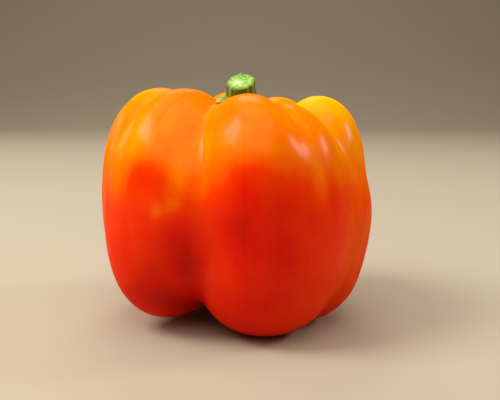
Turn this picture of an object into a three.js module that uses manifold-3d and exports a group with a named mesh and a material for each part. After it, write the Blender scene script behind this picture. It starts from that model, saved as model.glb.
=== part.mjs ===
// A bell pepper as picked: one lobed fruit that stands on its feet, and the cut green stem whose
// calyx lies in the hollow between the crowns.
// Millimetres, +Z up. The origin is under the middle of the pepper, on the surface it stands on.
import * as THREE from "three";
import { mergeVertices } from "three/addons/utils/BufferGeometryUtils.js";
import Module from "manifold-3d";

const SKIN_LOOK = { color: "#e2500a", roughness: 0.28, metalness: 0 };
const STEM_LOOK = { color: "#7c9a2c", roughness: 0.55, metalness: 0 };

// The point inside the fruit that the lobes grow round, and that its skin is measured from.
const HEART = new THREE.Vector3(0.8, 0.4, 40);
const FARTHEST_SKIN = 70;
const HALVINGS = 40;
const SKIN_SEGMENTS = 72;
const SKIN_RINGS = 50;

// How far the standing feet are pressed flat by the fruit's own weight.
const FOOT_PRESS = 0.4;
const FLOOR_WIDTH = 160;
const FLOOR_DEPTH = 10;

// A lobe is an upright rounded sac beside the heart.
//   azimuth: direction from the heart, in degrees from +X
//   offset: distance of the sac's middle from the heart's axis
//   depth, breadth: half sizes along that direction and across it
//   crown, foot: heights of its two ends
//   lean, sway: how far the crown stands further out, and further round, than the foot
//   crownPinch, footPinch: share of the breadth lost towards each end; below 0 it widens
const PLAIN_LOBE = { lean: 0, sway: 0, crownPinch: 0.25, footPinch: 0.25 };
const LOBES = [
  // Front
  {
    ...PLAIN_LOBE, azimuth: -69.5, offset: 21.5, depth: 25.5, breadth: 23,
    crown: 80.5, foot: -FOOT_PRESS, sway: -7, crownPinch: 0.2, footPinch: -0.27,
  },
  // Shoulder on the right of the front lobe
  {
    ...PLAIN_LOBE, azimuth: -46, offset: 23, depth: 22, breadth: 20,
    crown: 77.5, foot: 3,
  },
  // Front left
  {
    ...PLAIN_LOBE, azimuth: -147, offset: 22.5, depth: 25, breadth: 26.5,
    crown: 82, foot: 3, lean: -4, sway: 4, crownPinch: 0.55, footPinch: 0.54,
  },
  // Right, and the swell low down on it
  {
    ...PLAIN_LOBE, azimuth: -2, offset: 29, depth: 17, breadth: 20,
    crown: 79.5, foot: 10,
  },
  {
    ...PLAIN_LOBE, azimuth: -15, offset: 27, depth: 20, breadth: 18,
    crown: 58, foot: -FOOT_PRESS, lean: 8,
  },
  // Back right, back and back left
  {
    ...PLAIN_LOBE, azimuth: 48, offset: 23, depth: 22, breadth: 20,
    crown: 78.5, foot: -FOOT_PRESS,
  },
  {
    ...PLAIN_LOBE, azimuth: 98, offset: 23, depth: 22, breadth: 20,
    crown: 80, foot: -FOOT_PRESS,
  },
  {
    ...PLAIN_LOBE, azimuth: 164, offset: 28.5, depth: 21.5, breadth: 22,
    crown: 82, foot: -FOOT_PRESS,
  },
  // The body inside the lobes
  {
    ...PLAIN_LOBE, azimuth: 0, offset: 0, depth: 34, breadth: 34,
    crown: 72, foot: 12, crownPinch: 0, footPinch: 0,
  },
];

// Roundness of a sac's ends, and how tightly the sacs merge: softly at mid height, with
// sharper creases towards the crowns and the feet.
const END_POWER = 2.8;
const WIDEST_PINCH = 1.2;
const MERGE_MIDDLE = 9;
const MERGE_ENDS = 30;
const HALF_HEIGHT = 41;

// The hollow that the stem grows from: a bowl sunk between the crowns, with this radius of
// curvature at its floor.
const HOLLOW = { x: 2.6, y: 0.9, floor: 69.5, radius: 10 };

// The stem: its axis leans a little from its root to its cut, which rises to the back and a
// little to the right.
const STEM_ROOT = new THREE.Vector2(HOLLOW.x, HOLLOW.y);
const STEM_CUT = new THREE.Vector3(2.6, 0.4, 84.5);
const CUT_RISE_BACK = Math.tan(THREE.MathUtils.degToRad(27));
const CUT_RISE_RIGHT = Math.tan(THREE.MathUtils.degToRad(5));
const STEM_SEGMENTS = 72;
const STEM_RINGS = 18;

// Half of the stem's upright section: reach from its axis, and height over the skin below it.
// It runs from the middle of the cut, down the neck, out over the calyx and back underneath.
// Below the drape height it follows the skin, and from the free height up it is straight.
const STEM_GAP = 0.6;
const DRAPE_HEIGHT = 2;
const FREE_HEIGHT = 11;
const NECK_HEIGHT = 14;
const NECK_REACH = 5;
const CALYX_REACH = 11.5;
const CALYX_EDGE = 1.4;
const CUT_PROFILE = [
  [0, NECK_HEIGHT],
  [0.45 * NECK_REACH, NECK_HEIGHT],
  [0.9 * NECK_REACH, NECK_HEIGHT],
];
const NECK_PROFILE = [
  [NECK_REACH, NECK_HEIGHT - 0.5],
  [NECK_REACH, NECK_HEIGHT - 3],
  [1.08 * NECK_REACH, 0.6 * NECK_HEIGHT],
  [1.3 * NECK_REACH, 0.4 * NECK_HEIGHT],
  [1.7 * NECK_REACH, 3],
  [0.85 * CALYX_REACH, 2.1],
  [CALYX_REACH, CALYX_EDGE],
];
const SEAT_PROFILE = [
  [0.97 * CALYX_REACH, STEM_GAP],
  [0.92 * CALYX_REACH, STEM_GAP],
  [0.86 * CALYX_REACH, STEM_GAP],
  [0.8 * CALYX_REACH, STEM_GAP],
  [0.72 * CALYX_REACH, STEM_GAP],
  [0.5 * CALYX_REACH, STEM_GAP],
  [0.25 * CALYX_REACH, STEM_GAP],
  [0, STEM_GAP],
];

// Sepals point along the creases between the crowns, and each runs up the neck as a ridge.
// Half widths are in degrees.
const SEPALS = [
  { azimuth: -114, reach: 17, halfWidth: 9 },
  { azimuth: -44, reach: 13, halfWidth: 16 },
  { azimuth: 14, reach: 13.5, halfWidth: 16 },
  { azimuth: 66, reach: 13.5, halfWidth: 16 },
  { azimuth: 126, reach: 14.5, halfWidth: 16 },
  { azimuth: 178, reach: 13, halfWidth: 16 },
];
const NECK_RIDGE = 0.05;

// How near a point is to a lobe's own skin: 1 on it, less inside, more outside.
function lobeNearness(lobe, x, y, z) {
  const turn = THREE.MathUtils.degToRad(lobe.azimuth);
  const out = (x - HEART.x) * Math.cos(turn) + (y - HEART.y) * Math.sin(turn);
  const round = (y - HEART.y) * Math.cos(turn) - (x - HEART.x) * Math.sin(turn);
  const w = (2 * z - lobe.crown - lobe.foot) / (lobe.crown - lobe.foot);
  const pinch = (w > 0 ? lobe.crownPinch : lobe.footPinch) * Math.min(w * w, WIDEST_PINCH);
  const u = (out - lobe.offset - (lobe.lean * w) / 2) / lobe.depth;
  const v = (round - (lobe.sway * w) / 2) / (lobe.breadth * (1 - pinch));
  return Math.sqrt(u * u + v * v + Math.abs(w) ** END_POWER);
}

// How far a point is below the bowl of the hollow; it is below 0 in the hollow itself.
function belowHollow(x, y, z) {
  const out = Math.hypot(x - HOLLOW.x, y - HOLLOW.y);
  return HOLLOW.floor + (out * out) / (2 * HOLLOW.radius) - z;
}

// Above 0 inside the fruit and below 0 outside it: the lobes merged into one smooth body, and
// the hollow taken from it with a rounded brim.
function insideFruit(x, y, z) {
  const endShare = Math.min(((z - HEART.z) / HALF_HEIGHT) ** 2, 1);
  const merge = THREE.MathUtils.lerp(MERGE_MIDDLE, MERGE_ENDS, endShare);
  let lobes = 0;
  for (const lobe of LOBES) {
    lobes += Math.exp(merge * (1 - lobeNearness(lobe, x, y, z)));
  }
  return -Math.log(1 / lobes + Math.exp(-belowHollow(x, y, z)));
}

// Distance from a start point inside the fruit to its skin, along a unit direction.
function skinDistance(start, direction) {
  let inner = 0;
  let outer = FARTHEST_SKIN;
  for (let halving = 0; halving < HALVINGS; halving += 1) {
    const middle = (inner + outer) / 2;
    const point = start.clone().addScaledVector(direction, middle);
    if (insideFruit(point.x, point.y, point.z) > 0) {
      inner = middle;
    } else {
      outer = middle;
    }
  }
  return inner;
}

// Height of the skin over a place in plan, on the top side of the fruit.
function topSkin(x, y) {
  return HEART.z + skinDistance(new THREE.Vector3(x, y, HEART.z), new THREE.Vector3(0, 0, 1));
}

// A geometry with positions alone, its shared vertices merged.
function weld(geometry) {
  geometry.deleteAttribute("normal");
  geometry.deleteAttribute("uv");
  return mergeVertices(geometry);
}

// A welded geometry as a solid that can be cut.
function toSolid(wasm, geometry) {
  const vertProperties = new Float32Array(geometry.attributes.position.array);
  const triVerts = new Uint32Array(geometry.index.array);
  return new wasm.Manifold(new wasm.Mesh({ numProp: 3, vertProperties, triVerts }));
}

// A solid as a geometry that can be drawn.
function toGeometry(solid) {
  const mesh = solid.getMesh();
  const geometry = new THREE.BufferGeometry();
  geometry.setAttribute("position", new THREE.BufferAttribute(mesh.vertProperties, 3));
  geometry.setIndex(new THREE.BufferAttribute(mesh.triVerts, 1));
  geometry.computeVertexNormals();
  return geometry;
}

// The fruit: a ball round the heart, each point moved out to the skin, with its feet cut flat.
function fruitGeometry(wasm) {
  const ball = new THREE.SphereGeometry(1, SKIN_SEGMENTS, SKIN_RINGS).rotateX(Math.PI / 2);
  const skin = weld(ball);
  const position = skin.attributes.position;
  const direction = new THREE.Vector3();
  for (let i = 0; i < position.count; i += 1) {
    direction.fromBufferAttribute(position, i).normalize();
    const point = direction.clone().multiplyScalar(skinDistance(HEART, direction)).add(HEART);
    position.setXYZ(i, point.x, point.y, point.z);
  }
  const floor = new THREE.BoxGeometry(FLOOR_WIDTH, FLOOR_WIDTH, FLOOR_DEPTH);
  floor.translate(0, 0, -FLOOR_DEPTH / 2);
  return toGeometry(toSolid(wasm, skin).subtract(toSolid(wasm, weld(floor))));
}

// 1 along the middle of a sepal, falling to 0 on both sides of it.
function sepalShare(sepal, azimuth) {
  const apart = THREE.MathUtils.euclideanModulo(azimuth - sepal.azimuth + 180, 360) - 180;
  return Math.exp(-((apart / sepal.halfWidth) ** 2));
}

// How much the round section is stretched, at a reach and azimuth, into ridges and sepal points.
function stemStretch(reach, azimuth) {
  const { lerp, smoothstep } = THREE.MathUtils;
  const onNeck = smoothstep(reach, 0.7 * NECK_REACH, NECK_REACH);
  const onCalyx = smoothstep(reach, 1.2 * NECK_REACH, CALYX_REACH);
  let stretch = 1;
  for (const sepal of SEPALS) {
    const point = sepal.reach / CALYX_REACH - 1;
    stretch += sepalShare(sepal, azimuth) * lerp(NECK_RIDGE * onNeck, point, onCalyx);
  }
  return stretch;
}

// The stem's section as lathe points: the cut's flat, then a smooth curve, then the underside.
function stemProfile() {
  const toPoint = ([reach, height]) => new THREE.Vector2(reach, height);
  const curve = new THREE.SplineCurve(NECK_PROFILE.map(toPoint));
  return [...CUT_PROFILE.map(toPoint), ...curve.getPoints(STEM_RINGS), ...SEAT_PROFILE.map(toPoint)];
}

// The stem and its calyx: a lathe whose lower part is draped over the skin between the crowns.
function stemGeometry() {
  const lathe = new THREE.LatheGeometry(stemProfile().reverse(), STEM_SEGMENTS).rotateX(Math.PI / 2);
  const position = lathe.attributes.position;
  const { lerp, radToDeg, smoothstep } = THREE.MathUtils;
  for (let i = 0; i < position.count; i += 1) {
    const height = position.getZ(i);
    const flatX = position.getX(i);
    const flatY = position.getY(i);
    const stretch = stemStretch(Math.hypot(flatX, flatY), radToDeg(Math.atan2(flatY, flatX)));
    const rise = smoothstep(height, DRAPE_HEIGHT, FREE_HEIGHT);
    const x = lerp(STEM_ROOT.x, STEM_CUT.x, rise) + stretch * flatX;
    const y = lerp(STEM_ROOT.y, STEM_CUT.y, rise) + stretch * flatY;
    const cutSlope = CUT_RISE_BACK * (y - STEM_CUT.y) + CUT_RISE_RIGHT * (x - STEM_CUT.x);
    const neckFoot = STEM_CUT.z - NECK_HEIGHT + cutSlope;
    position.setXYZ(i, x, y, height + lerp(topSkin(x, y), neckFoot, rise));
  }
  const stem = weld(lathe);
  stem.computeVertexNormals();
  return stem;
}

function namedMesh(name, geometry, look) {
  const mesh = new THREE.Mesh(geometry, new THREE.MeshStandardMaterial(look));
  mesh.name = name;
  return mesh;
}

const wasm = await Module();
wasm.setup();

const pepper = new THREE.Group();
pepper.name = "bell_pepper";
pepper.add(namedMesh("fruit", fruitGeometry(wasm), SKIN_LOOK));
pepper.add(namedMesh("stem", stemGeometry(), STEM_LOOK));

export default pepper;
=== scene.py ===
"""A bell pepper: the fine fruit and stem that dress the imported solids, on a plain floor in soft light.

Sizes in the classes are millimetres, as in the part itself, and become metres when a mesh is written.
"""
import logging
import math
from dataclasses import dataclass
from enum import Enum
from typing import Any

import bpy
import numpy as np
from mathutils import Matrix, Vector


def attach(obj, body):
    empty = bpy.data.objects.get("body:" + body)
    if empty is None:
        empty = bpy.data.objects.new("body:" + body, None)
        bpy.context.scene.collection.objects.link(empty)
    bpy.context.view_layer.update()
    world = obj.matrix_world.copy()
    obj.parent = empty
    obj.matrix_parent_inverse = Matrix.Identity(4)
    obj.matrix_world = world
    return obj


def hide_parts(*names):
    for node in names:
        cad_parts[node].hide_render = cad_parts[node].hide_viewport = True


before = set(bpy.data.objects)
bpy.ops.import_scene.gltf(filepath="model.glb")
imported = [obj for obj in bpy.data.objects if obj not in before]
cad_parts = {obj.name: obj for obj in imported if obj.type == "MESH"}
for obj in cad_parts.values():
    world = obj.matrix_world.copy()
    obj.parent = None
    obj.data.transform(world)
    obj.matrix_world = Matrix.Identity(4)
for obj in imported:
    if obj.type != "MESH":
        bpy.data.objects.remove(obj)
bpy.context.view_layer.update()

MM = 0.001
# A colour Mix node's sockets go by number, because its other kinds of value share their names.
MIX_SHARE, MIX_FROM, MIX_TO, MIX_RESULT = 0, 6, 7, 2

Array = np.ndarray
Stops = tuple[tuple[float, str], ...]
log = logging.getLogger("bell_pepper")


class Slot(Enum):
    """The record's material slots."""

    SKIN = "skin"
    STEM = "stem"


class Node(Enum):
    """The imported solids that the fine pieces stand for."""

    FRUIT = "fruit"
    STEM = "stem"


class Mark(Enum):
    """Vertex attributes that carry a pattern along a surface to its material."""

    RIPENESS = "ripeness_and_shade"
    GRAIN = "grain"
    SCAR = "scar"
    CUT = "cut"
    PITH = "pith"
    RIB = "rib"
    TIP = "tip"


def linear(hex_colour: str) -> tuple[float, float, float, float]:
    """Turns an sRGB hex colour into linear light.

    Args:
        hex_colour: a colour such as "#ff7d00".

    Returns:
        Linear red, green and blue, with an alpha of 1.
    """
    parts = [int(hex_colour[i:i + 2], 16) / 255 for i in (1, 3, 5)]
    light = [c / 12.92 if c <= 0.04045 else ((c + 0.055) / 1.055) ** 2.4 for c in parts]
    return (light[0], light[1], light[2], 1.0)


def feed(tree: bpy.types.NodeTree, node: bpy.types.Node, inputs: dict[Any, Any]) -> None:
    """Sets a node's inputs.

    Args:
        tree: the node tree that holds it.
        node: the node.
        inputs: input name or number to a constant, or to the output socket that feeds it.
    """
    for name, value in inputs.items():
        if isinstance(value, bpy.types.NodeSocket):
            tree.links.new(value, node.inputs[name])
        else:
            node.inputs[name].default_value = value


def add_node(tree: bpy.types.NodeTree, kind: str, inputs: dict[Any, Any] | None = None,
             stops: Stops = (), **settings: Any) -> bpy.types.Node:
    """Adds a node with its settings, its constant inputs and its links.

    Args:
        tree: the node tree that takes it.
        kind: the node's Blender type name.
        inputs: input name or number to a constant, or to the output socket that feeds it.
        stops: for a colour ramp, places from 0 to 1, each with its sRGB hex colour.
        settings: the node's own properties.

    Returns:
        The new node.
    """
    node = tree.nodes.new(kind)
    for name, value in settings.items():
        setattr(node, name, value)
    for number, (place, colour) in enumerate(stops):
        elements = node.color_ramp.elements
        element = elements[number] if number < len(elements) else elements.new(1.0)
        element.position = place
        element.color = linear(colour)
    feed(tree, node, inputs or {})
    return node


def start_material(name: str) -> tuple[bpy.types.Material, bpy.types.NodeTree, bpy.types.Node]:
    """Makes a material that holds only the standard surface shader.

    Args:
        name: the material's name.

    Returns:
        The material, its node tree and its surface shader.
    """
    material = bpy.data.materials.new(name)
    material.use_nodes = True
    return material, material.node_tree, material.node_tree.nodes["Principled BSDF"]


def smoothstep(values: Array, low: float, high: float) -> Array:
    """Rises smoothly from 0 at low to 1 at high.

    Args:
        values: the numbers to map.
        low: where the rise starts.
        high: where it ends.

    Returns:
        Shares from 0 to 1.
    """
    share = np.clip((values - low) / (high - low), 0.0, 1.0)
    return share * share * (3.0 - 2.0 * share)


def lerp(start: Any, end: Any, share: Array) -> Array:
    """Goes from start to end as share goes from 0 to 1."""
    return start + (end - start) * share


def bell(apart: Array, half_width: float) -> Array:
    """Gives 1 where apart is 0, falling to about a third at the half width."""
    return np.exp(-((apart / half_width) ** 2))


def degrees_apart(azimuths: Array, azimuth: float) -> Array:
    """Gives the shortest turn from one azimuth to each of the others, in degrees."""
    return (azimuths - azimuth + 180.0) % 360.0 - 180.0


def read_points(mesh: bpy.types.Mesh) -> Array:
    """Reads a mesh's vertices.

    Args:
        mesh: the mesh.

    Returns:
        Its vertices as rows, in the mesh's own units.
    """
    flat = np.empty(len(mesh.vertices) * 3)
    mesh.vertices.foreach_get("co", flat)
    return flat.reshape(-1, 3)


def write_points(mesh: bpy.types.Mesh, points: Array) -> None:
    """Moves a mesh's vertices to points given in millimetres."""
    mesh.vertices.foreach_set("co", (points * MM).ravel())
    mesh.update()


def write_mark(mesh: bpy.types.Mesh, mark: Mark, values: Array) -> None:
    """Writes one number, or one vector, per vertex as an attribute.

    Args:
        mesh: the mesh that takes it.
        mark: the attribute's name.
        values: one value, or one row of three, for each vertex.
    """
    kind, key = ("FLOAT", "value") if values.ndim == 1 else ("FLOAT_VECTOR", "vector")
    attribute = mesh.attributes.new(mark.value, kind, "POINT")
    attribute.data.foreach_set(key, values.astype(np.float32).ravel())


def finish_piece(piece: bpy.types.Object, node: Node, material: bpy.types.Material) -> None:
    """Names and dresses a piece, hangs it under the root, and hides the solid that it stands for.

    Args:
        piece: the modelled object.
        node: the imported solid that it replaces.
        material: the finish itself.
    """
    piece.name = f"fine_{node.value}"
    piece.data.materials.clear()
    piece.data.materials.append(material)
    bpy.ops.object.shade_smooth()
    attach(piece, "root")
    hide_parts(node.value)
    log.info("%s: %d vertices in %s", piece.name, len(piece.data.vertices), material.name)


@dataclass(frozen=True)
class Pattern:
    """One noise pattern: its patches' size, its finer octaves, and how far it moves a value.

    A pattern that only picks colours from a row of stops has no amount.
    """

    size: float
    detail: float
    amount: float = 0.0


@dataclass(frozen=True)
class WaxySkin:
    """Bell pepper skin: a thin waxy cuticle over coloured flesh that ripens from orange to red.

    The wax gives broad soft highlights, the flesh below glows a little, and the colour turns in
    cloudy patches with faint streaks that run from the stem to the blossom end.
    """

    name: str = "waxy pepper skin"
    # The deepest reds, reached at the feet and in a crease, are partly painted shade.
    ripening: Stops = (
        (0.0, "#ffb000"),
        (0.25, "#fd7900"),
        (0.5, "#f83a00"),
        (0.75, "#ea1b00"),
        (1.0, "#b40a00"),
    )
    scar_colour: str = "#8a6a3a"
    clouds: tuple[Pattern, ...] = (Pattern(9.0, 2.0, 0.05), Pattern(3.0, 3.0, 0.025))
    streak: Pattern = Pattern(1.8, 3.0, 0.025)
    # The real skin's pores are finer than this; at their own size the render would not show them.
    peel: Pattern = Pattern(0.9, 1.0, 0.03)

    def material(self) -> bpy.types.Material:
        """Builds the finish.

        Returns:
            The material.
        """
        material, tree, shader = start_material(self.name)
        place = add_node(tree, "ShaderNodeTexCoord").outputs["Object"]
        grain = add_node(tree, "ShaderNodeAttribute", attribute_name=Mark.GRAIN.value).outputs["Vector"]
        scar = add_node(tree, "ShaderNodeAttribute", attribute_name=Mark.SCAR.value).outputs["Fac"]
        # This mark holds the skin's ripening, with painted shade as a deeper red at the feet and in a
        # crease.
        ripe_and_shade = add_node(tree, "ShaderNodeAttribute", attribute_name=Mark.RIPENESS.value).outputs["Fac"]
        # Object coordinates are metres, so a pattern of some millimetres has a scale of 1 / (size * MM).
        # The grain is in millimetres and pressed together along its length, which makes streaks.
        layers = [(pattern, place, 1 / (pattern.size * MM)) for pattern in self.clouds]
        layers.append((self.streak, grain, 1 / self.streak.size))
        for pattern, where, scale in layers:
            noise = add_node(tree, "ShaderNodeTexNoise", {
                "Vector": where,
                "Scale": scale,
                "Detail": pattern.detail,
            }, normalize=False)
            ripe_and_shade = add_node(tree, "ShaderNodeMath", {
                0: noise.outputs["Fac"],
                1: pattern.amount,
                2: ripe_and_shade,
            }, operation="MULTIPLY_ADD").outputs["Value"]
        flesh = add_node(tree, "ShaderNodeValToRGB", {"Fac": ripe_and_shade}, stops=self.ripening)
        colour = add_node(tree, "ShaderNodeMix", {
            MIX_SHARE: scar,
            MIX_FROM: flesh.outputs["Color"],
            MIX_TO: linear(self.scar_colour),
        }, data_type="RGBA")
        pores = add_node(tree, "ShaderNodeTexNoise", {
            "Vector": place,
            "Scale": 1 / (self.peel.size * MM),
            "Detail": self.peel.detail,
        })
        bump = add_node(tree, "ShaderNodeBump", {
            "Strength": 0.2,
            "Distance": self.peel.amount * MM,
            "Height": pores.outputs["Fac"],
        })
        # All shine comes from the thin coat of wax, so the flesh keeps its full colour at the edges.
        feed(tree, shader, {
            "Base Color": colour.outputs[MIX_RESULT],
            "Roughness": 0.5,
            "Specular IOR Level": 0.0,
            "Coat Weight": 0.15,
            "Coat IOR": 1.5,
            "Coat Roughness": 0.21,
            "Coat Normal": bump.outputs["Normal"],
            "Subsurface Weight": 0.1,
            "Subsurface Radius": (1.0, 0.25, 0.08),
            "Subsurface Scale": 3.0 * MM,
            "Normal": bump.outputs["Normal"],
        })
        return material


@dataclass(frozen=True)
class GreenStalk:
    """Fresh pepper stalk: fibrous green with paler ribs, and a moist cut with a pale pith.

    The fibres run along the stalk and out over the calyx. They keep its shine dull, and the cut
    is brighter than the sides, whose dark olive-brown is painted shade and a painted reflection
    of the orange fruit over the stalk's green.
    """

    name: str = "fresh green stalk"
    # The neck's sides: the stalk's green darkened to olive-brown by painted shade and a painted
    # reflection of the orange fruit
    side: Stops = ((0.25, "#36380a"), (0.5, "#54580a"), (0.8, "#74780f"))
    rib_colour: str = "#969c3e"
    calyx: Stops = ((0.2, "#6f8a1c"), (0.8, "#b4bf52"))
    face: Stops = ((0.3, "#46720a"), (0.5, "#78a616"), (0.7, "#a2c83a"))
    pith_colour: str = "#d2e6a2"
    fibre: Pattern = Pattern(0.5, 2.0, 0.06)
    fleck: Pattern = Pattern(1.3, 3.0)

    def material(self) -> bpy.types.Material:
        """Builds the finish.

        Returns:
            The material.
        """
        material, tree, shader = start_material(self.name)
        place = add_node(tree, "ShaderNodeTexCoord").outputs["Object"]
        grain = add_node(tree, "ShaderNodeAttribute", attribute_name=Mark.GRAIN.value).outputs["Vector"]
        shares = {mark: add_node(tree, "ShaderNodeAttribute", attribute_name=mark.value).outputs["Fac"]
                  for mark in (Mark.RIB, Mark.TIP, Mark.PITH, Mark.CUT)}
        flecks = add_node(tree, "ShaderNodeTexNoise", {
            "Vector": place,
            "Scale": 1 / (self.fleck.size * MM),
            "Detail": self.fleck.detail,
        }).outputs["Fac"]
        fibres = add_node(tree, "ShaderNodeTexNoise", {
            "Vector": grain,
            "Scale": 1 / self.fibre.size,
            "Detail": self.fibre.detail,
        }).outputs["Fac"]
        # The sides' colours hold the painted shade and the painted reflection of the fruit.
        side = add_node(tree, "ShaderNodeValToRGB", {"Fac": fibres}, stops=self.side).outputs["Color"]
        calyx = add_node(tree, "ShaderNodeValToRGB", {"Fac": fibres}, stops=self.calyx).outputs["Color"]
        face = add_node(tree, "ShaderNodeValToRGB", {"Fac": flecks}, stops=self.face).outputs["Color"]
        ribbed = add_node(tree, "ShaderNodeMix", {
            MIX_SHARE: shares[Mark.RIB],
            MIX_FROM: side,
            MIX_TO: linear(self.rib_colour),
        }, data_type="RGBA").outputs[MIX_RESULT]
        body = add_node(tree, "ShaderNodeMix", {
            MIX_SHARE: shares[Mark.TIP],
            MIX_FROM: ribbed,
            MIX_TO: calyx,
        }, data_type="RGBA").outputs[MIX_RESULT]
        cut = add_node(tree, "ShaderNodeMix", {
            MIX_SHARE: shares[Mark.PITH],
            MIX_FROM: face,
            MIX_TO: linear(self.pith_colour),
        }, data_type="RGBA").outputs[MIX_RESULT]
        colour = add_node(tree, "ShaderNodeMix", {
            MIX_SHARE: shares[Mark.CUT],
            MIX_FROM: body,
            MIX_TO: cut,
        }, data_type="RGBA").outputs[MIX_RESULT]
        bump = add_node(tree, "ShaderNodeBump", {
            "Strength": 0.5,
            "Distance": self.fibre.amount * MM,
            "Height": fibres,
        })
        feed(tree, shader, {
            "Base Color": colour,
            "Roughness": 0.5,
            "IOR": 1.42,
            "Specular IOR Level": 0.3,
            "Subsurface Weight": 0.15,
            "Subsurface Radius": (0.6, 1.0, 0.2),
            "Subsurface Scale": 1.5 * MM,
            "Normal": bump.outputs["Normal"],
        })
        return material


@dataclass(frozen=True)
class Lobe:
    """An upright rounded sac beside the heart.

    The azimuth is its direction from the heart, in degrees from +X, and the offset the distance of
    its middle from the heart's axis. Depth and breadth are half sizes along that direction and
    across it. The crown leans further out, and sways further round, than the foot. A pinch is the
    share of the breadth lost towards an end; below 0 it widens. It grows with the level's square,
    up to the widest pinch, and the end power makes the ends blunter than a ball's.
    """

    azimuth: float
    offset: float
    depth: float
    breadth: float
    crown: float
    foot: float
    lean: float = 0.0
    sway: float = 0.0
    crown_pinch: float = 0.25
    foot_pinch: float = 0.25
    end_power: float = 2.8
    widest_pinch: float = 1.2

    def nearness(self, x: Array, y: Array, z: Array) -> Array:
        """Tells how near points are to this sac's own skin.

        Args:
            x: places to the right of the heart.
            y: places behind the heart.
            z: heights over the floor.

        Returns:
            1 on the sac's skin, less inside and more outside.
        """
        turn = math.radians(self.azimuth)
        out = x * math.cos(turn) + y * math.sin(turn)
        across = y * math.cos(turn) - x * math.sin(turn)
        # The level goes from -1 at the foot to 1 at the crown.
        level = (2 * z - self.crown - self.foot) / (self.crown - self.foot)
        end_pinch = np.where(level > 0, self.crown_pinch, self.foot_pinch)
        pinch = end_pinch * np.minimum(level * level, self.widest_pinch)
        along = (out - self.offset - self.lean * level / 2) / self.depth
        beside = (across - self.sway * level / 2) / (self.breadth * (1 - pinch))
        return np.sqrt(along * along + beside * beside + np.abs(level) ** self.end_power)


@dataclass(frozen=True)
class Blush:
    """A soft redder or more orange patch; at the feet and in a crease it is partly painted shade."""

    azimuth: float
    height: float
    half_turn: float
    half_height: float
    amount: float

    def share(self, azimuths: Array, heights: Array) -> Array:
        """Gives what the patch adds to the skin's redness at each place.

        Args:
            azimuths: directions from the heart, in degrees.
            heights: heights over the floor.

        Returns:
            Redness added: ripening, and painted shade in the patches at the feet and in the crease.
        """
        round_share = bell(degrees_apart(azimuths, self.azimuth), self.half_turn)
        return self.amount * round_share * bell(heights - self.height, self.half_height)


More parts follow.
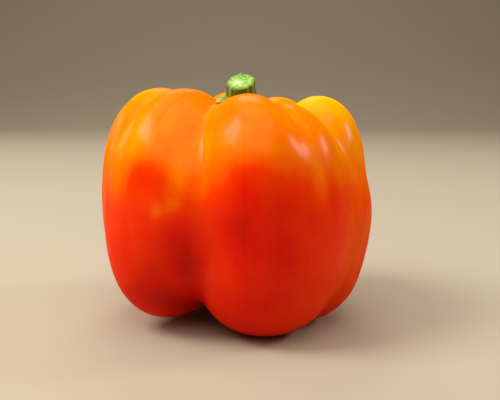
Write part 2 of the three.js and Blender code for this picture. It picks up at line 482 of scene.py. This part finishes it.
@dataclass
class Fruit:
    """The lobed body: sacs merged into one skin, a bowl sunk in its top, and feet pressed flat."""

    finish: WaxySkin
    heart: tuple[float, float, float] = (0.8, 0.4, 40.0)
    hollow: tuple[float, float, float] = (2.6, 0.9, 69.5)
    hollow_radius: float = 10.0
    half_height: float = 41.0
    merge_middle: float = 9.0
    merge_ends: float = 30.0
    farthest_skin: float = 70.0
    halvings: int = 30
    cells: int = 112
    lobes: tuple[Lobe, ...] = (
        # Front, with a shoulder on its right
        Lobe(-69.5, 21.5, 25.5, 23, 80.5, -0.4, sway=-7, crown_pinch=0.2, foot_pinch=-0.27),
        Lobe(-46, 23, 22, 20, 77.5, 3),
        # Front left
        Lobe(-147, 22.5, 25, 26.5, 82, 3, lean=-4, sway=4, crown_pinch=0.55, foot_pinch=0.54),
        # Right, with a swell low down on it
        Lobe(-2, 29, 17, 20, 79.5, 10),
        Lobe(-15, 27, 20, 18, 58, -0.4, lean=8),
        # Back right, back and back left
        Lobe(48, 23, 22, 20, 78.5, -0.4),
        Lobe(98, 23, 22, 20, 80, -0.4),
        Lobe(164, 28.5, 21.5, 22, 82, -0.4),
        # The body inside the lobes
        Lobe(0, 0, 34, 34, 72, 12, crown_pinch=0, foot_pinch=0),
    )
    crown_ripeness: float = 0.26
    # The redder foot is partly ripening and partly painted shade, where less light reaches.
    foot_ripeness_and_shade: float = 0.65
    turning_heights: tuple[float, float] = (42.0, 66.0)
    blushes: tuple[Blush, ...] = (
        # Front lobe: red from below its crown, deepest left of its middle, with an orange right edge
        Blush(-88, 42, 8, 11, 0.19),
        Blush(-86, 57, 7, 7, 0.16),
        Blush(-72, 57, 16, 10, 0.1),
        Blush(-73, 35, 10, 10, 0.1),
        Blush(-54, 54, 4, 8, -0.1),
        Blush(-47, 49, 4, 9, 0.1),
        # Redder at the foot: partly painted shade
        Blush(-84, 12, 16, 12, 0.1),
        # Front left lobe: a red cheek, orange gaps round it, and deep red towards the crease and foot
        Blush(-130, 57, 7, 5, 0.17),
        Blush(-122, 55, 7, 5, 0.1),
        Blush(-115, 56, 5, 6, -0.18),
        Blush(-119, 46.5, 11, 4, -0.15),
        Blush(-115, 47, 3.5, 2.5, -0.12),
        Blush(-122, 44.5, 3, 3, -0.12),
        Blush(-103, 52, 6, 9, -0.08),
        # Redder down the crease and at the foot: partly painted shade, partly ripening
        Blush(-113, 31, 7, 13, 0.2),
        Blush(-124, 10, 14, 10, 0.34),
        Blush(-145, 50, 9, 10, -0.14),
        Blush(-137, 68, 10, 7, -0.1),
        # Left and right flanks stay more orange, and the crowns behind more yellow
        Blush(-172, 36, 20, 20, -0.25),
        Blush(-34, 30, 20, 28, -0.18),
        Blush(-12, 40, 16, 28, -0.16),
        Blush(-55, 12, 12, 12, -0.06),
        Blush(-3, 79, 30, 9, -0.22),
        Blush(160, 80, 30, 10, -0.1),
        Blush(75, 80, 35, 8, -0.1),
        # Behind: red cheeks that reach up, and orange gaps that reach down between them
        Blush(58, 48, 13, 13, 0.2),
        Blush(30, 44, 12, 14, -0.18),
        Blush(80, 42, 8, 15, -0.16),
        Blush(104, 34, 12, 16, 0.22),
        Blush(101, 59, 7, 7, 0.14),
        Blush(122, 48, 8, 13, -0.16),
        Blush(143, 50, 10, 11, 0.24),
        Blush(166, 52, 9, 8, -0.14),
    )
    ripple_height: float = 0.03
    ripple_waves: int = 28
    ripple_seed: int = 7
    ripple_lengths: tuple[float, float] = (12.0, 30.0)
    ripple_spread: tuple[float, float, float] = (1.0, 1.0, 0.35)
    usual_push: float = 1.4
    # Where the ripple sets in: out from the stem, below the crowns, and up from the feet
    rippled_reaches: tuple[float, float] = (12.0, 24.0)
    crown_heights: tuple[float, float] = (50.0, 60.0)
    rippled_heights: tuple[float, float] = (2.0, 12.0)
    # The blossom end: a shallow dent underneath, with the scar as a low button in it
    underside_slope: float = -0.8
    dent_depth: float = 1.2
    dent_size: float = 4.0
    scar_height: float = 0.9
    scar_size: float = 1.6
    grain_radius: float = 40.0
    grain_per_degree: float = 0.04

    def inside(self, points: Array) -> Array:
        """Tells on which side of the skin points are.

        Args:
            points: places in rows.

        Returns:
            Above 0 inside the fruit and below 0 outside it.
        """
        x, y, z = points.T
        end_share = np.minimum(((z - self.heart[2]) / self.half_height) ** 2, 1.0)
        merge = lerp(self.merge_middle, self.merge_ends, end_share)
        merged = np.zeros(len(points))
        for lobe in self.lobes:
            merged += np.exp(merge * (1 - lobe.nearness(x - self.heart[0], y - self.heart[1], z)))
        out = np.hypot(x - self.hollow[0], y - self.hollow[1])
        below_hollow = self.hollow[2] + out * out / (2 * self.hollow_radius) - z
        return -np.log(1 / merged + np.exp(-below_hollow))

    def skin_distance(self, starts: Array, directions: Array) -> Array:
        """Measures from points inside the fruit to its skin.

        Args:
            starts: where each ray starts.
            directions: each ray's unit direction.

        Returns:
            The length of each ray inside the fruit.
        """
        inner = np.zeros(len(starts))
        outer = np.full(len(starts), self.farthest_skin)
        for _ in range(self.halvings):
            middle = (inner + outer) / 2
            within = self.inside(starts + directions * middle[:, None]) > 0
            inner = np.where(within, middle, inner)
            outer = np.where(within, outer, middle)
        return inner

    def top_skin(self, x: Array, y: Array) -> Array:
        """Gives the height of the skin on the top side over each place in plan."""
        starts = np.column_stack([x, y, np.full(len(x), self.heart[2])])
        return self.heart[2] + self.skin_distance(starts, np.tile((0.0, 0.0, 1.0), (len(x), 1)))

    def ripple(self, points: Array) -> Array:
        """Gives the skin's slight waviness, which runs down the fruit and fades at its ends.

        Args:
            points: places on the skin.

        Returns:
            How far each place moves out.
        """
        random = np.random.default_rng(self.ripple_seed)
        wave = np.zeros(len(points))
        for _ in range(self.ripple_waves):
            length = random.uniform(*self.ripple_lengths)
            push = random.normal(size=3) * self.ripple_spread
            angle = points @ push * 2 * math.pi / length / self.usual_push
            wave += np.sin(angle + random.uniform(0, 2 * math.pi))
        out = np.hypot(points[:, 0] - self.hollow[0], points[:, 1] - self.hollow[1])
        on_crowns = smoothstep(points[:, 2], *self.crown_heights)
        near_stem = (1 - smoothstep(out, *self.rippled_reaches)) * on_crowns
        off_floor = smoothstep(points[:, 2], *self.rippled_heights)
        return self.ripple_height * wave * (1 - near_stem) * off_floor

    def ripeness_and_shade(self, azimuths: Array, heights: Array) -> Array:
        """Gives how red the skin is at each place.

        This is its ripening, with painted shade as a deeper red at the feet and in the front left
        crease.

        Args:
            azimuths: directions from the heart, in degrees.
            heights: heights over the floor.

        Returns:
            0 for yellow orange, up to 1 for deep red.
        """
        ripe_and_shade = lerp(self.foot_ripeness_and_shade, self.crown_ripeness, smoothstep(heights, *self.turning_heights))
        for blush in self.blushes:
            ripe_and_shade = ripe_and_shade + blush.share(azimuths, heights)
        return np.clip(ripe_and_shade, 0.0, 1.0)

    def build(self) -> bpy.types.Object:
        """Models the fruit from a finely cut cube that is blown out to the skin.

        Returns:
            The finished piece.
        """
        bpy.ops.object.select_all(action="DESELECT")
        bpy.ops.mesh.primitive_cube_add(size=2.0)
        bpy.ops.object.mode_set(mode="EDIT")
        bpy.ops.mesh.subdivide(number_cuts=self.cells - 1)
        bpy.ops.object.mode_set(mode="OBJECT")
        piece = bpy.context.object
        # Even angles over each face of the cube give cells of even size on the ball.
        ball = np.tan(read_points(piece.data) * math.pi / 4)
        rays = ball / np.linalg.norm(ball, axis=1, keepdims=True)
        heart = np.array(self.heart)
        points = heart + rays * self.skin_distance(np.tile(heart, (len(rays), 1)), rays)[:, None]
        points += rays * self.ripple(points)[:, None]
        from_axis = np.hypot(points[:, 0] - heart[0], points[:, 1] - heart[1])
        underside = rays[:, 2] < self.underside_slope
        scar = np.where(underside, bell(from_axis, self.scar_size), 0.0)
        dent = np.where(underside, self.dent_depth * bell(from_axis, self.dent_size), 0.0)
        points[:, 2] += dent - self.scar_height * scar
        points[:, 2] = np.maximum(points[:, 2], 0.0)
        write_points(piece.data, points)
        azimuths = np.degrees(np.arctan2(rays[:, 1], rays[:, 0]))
        turn = np.radians(azimuths)
        steepness = np.degrees(np.arcsin(rays[:, 2]))
        grain = np.column_stack([
            self.grain_radius * np.cos(turn),
            self.grain_radius * np.sin(turn),
            self.grain_per_degree * steepness,
        ])
        write_mark(piece.data, Mark.RIPENESS, self.ripeness_and_shade(azimuths, points[:, 2]))
        write_mark(piece.data, Mark.GRAIN, grain)
        write_mark(piece.data, Mark.SCAR, scar)
        finish_piece(piece, Node.FRUIT, self.finish.material())
        return piece


@dataclass(frozen=True)
class Sepal:
    """One point of the calyx: its direction in degrees from +X, its reach and its half width.

    The crest is how far its middle is raised near the neck and near its tip; below 0 it is sunk.
    """

    azimuth: float
    reach: float
    half_turn: float = 16.0
    neck_crest: float = 0.4
    tip_crest: float = 0.4


@dataclass(frozen=True)
class Rib:
    """One raised rib of the stalk: its direction in degrees from +X, its half width and height."""

    azimuth: float
    half_turn: float
    height: float


@dataclass
class Stem:
    """The cut stalk and its calyx, draped over the hollow between the crowns."""

    fruit: Fruit
    finish: GreenStalk
    root: tuple[float, float] = (2.6, 0.9)
    cut: tuple[float, float, float] = (2.6, 0.4, 84.5)
    cut_rise_back: float = 27.0
    cut_rise_right: float = 5.0
    neck_height: float = 14.0
    neck_reach: float = 5.0
    calyx_reach: float = 11.5
    drape_height: float = 2.0
    free_height: float = 11.0
    segments: int = 120
    sepals: tuple[Sepal, ...] = (
        Sepal(-116, 18, 6.5, 2.2, -0.9),
        Sepal(-44, 13),
        Sepal(14, 13.5),
        Sepal(66, 13.5),
        Sepal(126, 14.5),
        Sepal(178, 13),
    )
    ribs: tuple[Rib, ...] = (
        Rib(-138, 9, 0.5),
        Rib(-116, 6, 0.25),
        Rib(-60, 6, 0.35),
        Rib(-31, 7, 0.5),
        Rib(14, 8, 0.4),
        Rib(66, 8, 0.4),
        Rib(104, 6, 0.3),
        Rib(132, 8, 0.4),
        Rib(178, 8, 0.4),
    )
    # The ribs: where below the cut they set in and are full, and the share that the rim keeps;
    # then the height that takes their whole colour, and how fast it fades below that
    rib_depths: tuple[float, float] = (0.2, 3.0)
    rim_rib_share: float = 0.3
    full_rib: float = 0.6
    rib_contrast: float = 1.5
    # The calyx: where the neck starts to flare, where the green turns, and where the tips begin.
    # The starts are shares of the neck's reach, and the next two of the calyx's. The crests rise
    # between two heights over the skin.
    flare_start: float = 0.94
    calyx_start: float = 1.1
    calyx_full: float = 0.7
    tip_shares: tuple[float, float] = (0.65, 0.95)
    crest_heights: tuple[float, float] = (0.6, 1.6)
    # The cut: a raised nib on its far edge, a green rim and a pale pith
    face_depths: tuple[float, float] = (0.5, 0.2)
    nib_azimuth: float = 92.0
    nib_share: float = 0.9
    nib_height: float = 0.65
    nib_size: float = 0.5
    rim_shares: tuple[float, float] = (0.7, 0.98)
    rim_green: float = 0.4
    pith_place: tuple[float, float] = (-0.9, -0.2)
    pith_size: float = 1.7
    grain_radius: float = 5.0
    grain_per_mm: float = 0.06

    def profile(self) -> list[tuple[float, float]]:
        """Gives half of the upright section, from near the middle of the cut to under the calyx.

        Returns:
            Pairs of reach from the axis and height over the skin below.
        """
        neck, calyx, top = self.neck_reach, self.calyx_reach, self.neck_height
        face = [(0.2 * neck, top - 0.3), (0.45 * neck, top - 0.25), (0.68 * neck, top - 0.1),
                (0.85 * neck, top)]
        rim = [(0.95 * neck, top - 0.12), (neck, top - 0.5), (0.99 * neck, top - 1.3),
               (0.96 * neck, top - 2.4)]
        side = [(0.97 * neck, 0.74 * top), (1.03 * neck, 0.65 * top), (1.12 * neck, 0.55 * top),
                (1.24 * neck, 0.45 * top), (1.4 * neck, 0.35 * top), (1.6 * neck, 0.26 * top)]
        sepal = [(0.74 * calyx, 2.9), (0.8 * calyx, 2.5), (0.86 * calyx, 2.1), (0.92 * calyx, 1.7),
                 (0.97 * calyx, 1.2), (calyx, 0.7), (0.985 * calyx, 0.2)]
        seat = [(share * calyx, -0.1) for share in (0.95, 0.88, 0.8, 0.6, 0.3)]
        return face + rim + side + sepal + seat

    def lathe(self) -> bpy.types.Object:
        """Models the round section ring by ring, with both ends closed.

        Returns:
            The plain turned shape, in millimetres, before it is draped.
        """
        rings = self.profile()
        bpy.ops.object.select_all(action="DESELECT")
        bpy.ops.mesh.primitive_circle_add(vertices=self.segments, radius=rings[0][0], fill_type="TRIFAN")
        bpy.ops.object.mode_set(mode="EDIT")
        bpy.ops.mesh.select_all(action="SELECT")
        bpy.ops.transform.translate(value=(0, 0, rings[0][1]))
        bpy.ops.mesh.region_to_loop()
        for (reach, height), (next_reach, next_height) in zip(rings, rings[1:]):
            step = {"value": (0, 0, next_height - height)}
            bpy.ops.mesh.extrude_edges_move(TRANSFORM_OT_translate=step)
            widen = next_reach / reach
            bpy.ops.transform.resize(value=(widen, widen, 1), center_override=(0, 0, 0))
        bpy.ops.mesh.edge_face_add()
        bpy.ops.mesh.poke()
        bpy.ops.mesh.select_all(action="SELECT")
        bpy.ops.mesh.normals_make_consistent(inside=False)
        bpy.ops.object.mode_set(mode="OBJECT")
        bpy.ops.object.modifier_add(type="SUBSURF")
        smooth = bpy.context.object.modifiers[-1]
        smooth.levels = 1
        bpy.ops.object.modifier_apply(modifier=smooth.name)
        return bpy.context.object

    def rib_height(self, azimuths: Array) -> Array:
        """Gives how far the ribs stand out in each direction."""
        return sum(rib.height * bell(degrees_apart(azimuths, rib.azimuth), rib.half_turn)
                   for rib in self.ribs)

    def stretch(self, reaches: Array, azimuths: Array, heights: Array) -> Array:
        """Gives how much the round section is stretched into ribs and sepal points.

        Args:
            reaches: distances from the axis.
            azimuths: directions from the axis, in degrees.
            heights: heights over the skin below.

        Returns:
            The factor for each reach.
        """
        on_neck = smoothstep(self.neck_height - heights, *self.rib_depths)
        on_calyx = smoothstep(reaches, self.flare_start * self.neck_reach, self.calyx_reach)
        rib_share = lerp(self.rim_rib_share, 1.0, on_neck) * (1 - on_calyx)
        factor = 1 + self.rib_height(azimuths) / self.neck_reach * rib_share
        for sepal in self.sepals:
            point = bell(degrees_apart(azimuths, sepal.azimuth), sepal.half_turn)
            factor += point * (sepal.reach / self.calyx_reach - 1) * on_calyx
        return factor

    def build(self) -> bpy.types.Object:
        """Drapes the turned shape over the fruit, slopes its cut and marks its parts.

        Returns:
            The finished piece.
        """
        piece = self.lathe()
        flat_x, flat_y, heights = read_points(piece.data).T
        reaches = np.hypot(flat_x, flat_y)
        azimuths = np.degrees(np.arctan2(flat_y, flat_x))
        ribs = self.rib_height(azimuths)
        rise = smoothstep(heights, self.drape_height, self.free_height)
        stretch = self.stretch(reaches, azimuths, heights)
        x = lerp(self.root[0], self.cut[0], rise) + stretch * flat_x
        y = lerp(self.root[1], self.cut[1], rise) + stretch * flat_y
        cut_plane = (self.cut[2] - self.neck_height
                     + math.tan(math.radians(self.cut_rise_back)) * (y - self.cut[1])
                     + math.tan(math.radians(self.cut_rise_right)) * (x - self.cut[0]))
        z = heights + lerp(self.fruit.top_skin(x, y), cut_plane, rise)
        neck, calyx = self.neck_reach, self.calyx_reach
        on_calyx = smoothstep(reaches, self.calyx_start * neck, self.calyx_full * calyx)
        on_top = smoothstep(heights, *self.crest_heights)
        towards_tip = smoothstep(reaches / calyx, *self.tip_shares)
        for sepal in self.sepals:
            middle = bell(degrees_apart(azimuths, sepal.azimuth), sepal.half_turn)
            crest = lerp(sepal.neck_crest, sepal.tip_crest, towards_tip)
            z += crest * middle * on_calyx * on_top
        nib_turn = math.radians(self.nib_azimuth)
        nib_x = self.cut[0] + self.nib_share * neck * math.cos(nib_turn)
        nib_y = self.cut[1] + self.nib_share * neck * math.sin(nib_turn)
        cut_share = smoothstep(self.neck_height - heights, *self.face_depths)
        z += self.nib_height * bell(np.hypot(x - nib_x, y - nib_y), self.nib_size) * cut_share
        write_points(piece.data, np.column_stack([x, y, z]))
        turn = np.radians(azimuths)
        grain = np.column_stack([
            self.grain_radius * np.cos(turn),
            self.grain_radius * np.sin(turn),
            self.grain_per_mm * (heights - reaches),
        ])
        from_pith = np.hypot(flat_x - self.pith_place[0], flat_y - self.pith_place[1])
        green_rim = self.rim_green * smoothstep(reaches / neck, *self.rim_shares)
        write_mark(piece.data, Mark.GRAIN, grain)
        write_mark(piece.data, Mark.CUT, cut_share * (1 - green_rim))
        write_mark(piece.data, Mark.PITH, bell(from_pith, self.pith_size))
        write_mark(piece.data, Mark.RIB, np.clip(ribs / self.full_rib, 0.0, 1.0) ** self.rib_contrast)
        write_mark(piece.data, Mark.TIP, on_calyx)
        finish_piece(piece, Node.STEM, self.finish.material())
        return piece


@dataclass(frozen=True)
class SoftLight:
    """A large soft area light: its place in metres, its side and its power."""

    name: str
    place: tuple[float, float, float]
    side: float
    power: float

    def build(self, target: Vector) -> bpy.types.Object:
        """Hangs the light so that it faces the target.

        Args:
            target: the place that it lights.

        Returns:
            The light.
        """
        bpy.ops.object.light_add(type="AREA", location=self.place)
        light = bpy.context.object
        light.name = self.name
        light.data.shape = "SQUARE"
        light.data.size = self.side
        light.data.energy = self.power
        light.rotation_euler = (target - light.location).to_track_quat("-Z", "Y").to_euler()
        return light


@dataclass
class Studio:
    """The plain pale floor, the soft lights and the camera at the photo's viewing angle."""

    floor_colour: str = "#b0a289"
    floor_width: float = 8.0
    floor_front: float = -4.0
    floor_back: float = 1.6
    wall_height: float = 2.0
    bend_radius: float = 0.7
    bend_segments: int = 24
    edge_tolerance: float = 0.01
    world_colour: str = "#d8ccb6"
    world_strength: float = 0.2
    target: tuple[float, float, float] = (0.0, 0.0, 0.04)
    lights: tuple[SoftLight, ...] = (
        SoftLight("overhead softbox", (-0.1, -0.27, 0.9), 1.25, 9.2),
        SoftLight("left softbox", (-0.62, -0.16, 0.78), 0.38, 7.2),
        SoftLight("back left softbox", (-0.75, 0.5, 0.34), 0.3, 0.8),
        SoftLight("right softbox", (0.8, 0.12, 0.48), 0.2, 2.4),
        SoftLight("back softbox", (-0.05, 0.6, 0.7), 0.4, 2.0),
    )
    camera_place: tuple[float, float, float] = (0.0058, -0.2476, 0.086)
    camera_pitch: float = 10.0
    lens: float = 50.4
    sensor: float = 36.0
    near_clip: float = 0.01

    def build_floor(self) -> bpy.types.Object:
        """Models a sheet that lies flat and bends up behind.

        Returns:
            The floor.
        """
        bpy.ops.object.select_all(action="DESELECT")
        bpy.ops.mesh.primitive_plane_add(size=1.0)
        floor = bpy.context.object
        floor.name = "floor"
        bpy.ops.object.mode_set(mode="EDIT")
        bpy.ops.mesh.select_all(action="SELECT")
        depth = self.floor_back - self.floor_front
        bpy.ops.transform.resize(value=(self.floor_width, depth, 1), center_override=(0, 0, 0))
        bpy.ops.transform.translate(value=(0, (self.floor_back + self.floor_front) / 2, 0))
        bpy.ops.object.mode_set(mode="OBJECT")
        vertices = floor.data.vertices
        back_line = self.floor_back - self.edge_tolerance
        for edge in floor.data.edges:
            edge.select = all(vertices[i].co.y > back_line for i in edge.vertices)
        for vertex in vertices:
            vertex.select = vertex.co.y > back_line
        for polygon in floor.data.polygons:
            polygon.select = False
        bpy.ops.object.mode_set(mode="EDIT")
        bpy.ops.mesh.select_mode(type="EDGE")
        bpy.ops.mesh.extrude_edges_move(TRANSFORM_OT_translate={"value": (0, 0, self.wall_height)})
        bpy.ops.object.mode_set(mode="OBJECT")
        bpy.ops.object.modifier_add(type="BEVEL")
        bend = floor.modifiers[-1]
        bend.width = self.bend_radius
        bend.segments = self.bend_segments
        bpy.ops.object.modifier_apply(modifier=bend.name)
        bpy.ops.object.shade_smooth()
        floor.data.materials.append(self.floor_material())
        return floor

    def floor_material(self) -> bpy.types.Material:
        """Builds the floor's matt pale paper, which shows a soft shadow and no pattern.

        Returns:
            The material.
        """
        material, tree, shader = start_material("matt paper")
        feed(tree, shader, {"Base Color": linear(self.floor_colour), "Roughness": 0.9})
        return material

    def build_world(self) -> None:
        """Sets the even light that fills the shadows."""
        world = bpy.data.worlds.new("studio air")
        world.use_nodes = True
        background = world.node_tree.nodes["Background"]
        background.inputs["Color"].default_value = linear(self.world_colour)
        background.inputs["Strength"].default_value = self.world_strength
        bpy.context.scene.world = world

    def build_camera(self) -> bpy.types.Object:
        """Sets the camera where the photo was taken from.

        Returns:
            The camera.
        """
        bpy.ops.object.camera_add(location=self.camera_place)
        camera = bpy.context.object
        camera.name = "camera"
        camera.rotation_euler = (math.radians(90 - self.camera_pitch), 0, 0)
        camera.data.lens = self.lens
        camera.data.sensor_width = self.sensor
        camera.data.clip_start = self.near_clip
        bpy.context.scene.camera = camera
        return camera

    def build(self) -> None:
        """Builds the whole stage."""
        self.build_floor()
        self.build_world()
        for light in self.lights:
            light.build(Vector(self.target))
        self.build_camera()
        bpy.context.scene.view_settings.view_transform = "Standard"
        log.info("studio: %d lights", len(self.lights))


def main() -> None:
    """Builds the pepper and its studio."""
    logging.basicConfig(level=logging.INFO, format="%(name)s: %(message)s")
    fruit = Fruit(finish=WaxySkin())
    fruit.build()
    Stem(fruit=fruit, finish=GreenStalk()).build()
    Studio().build()


if __name__ == "__main__":
    main()
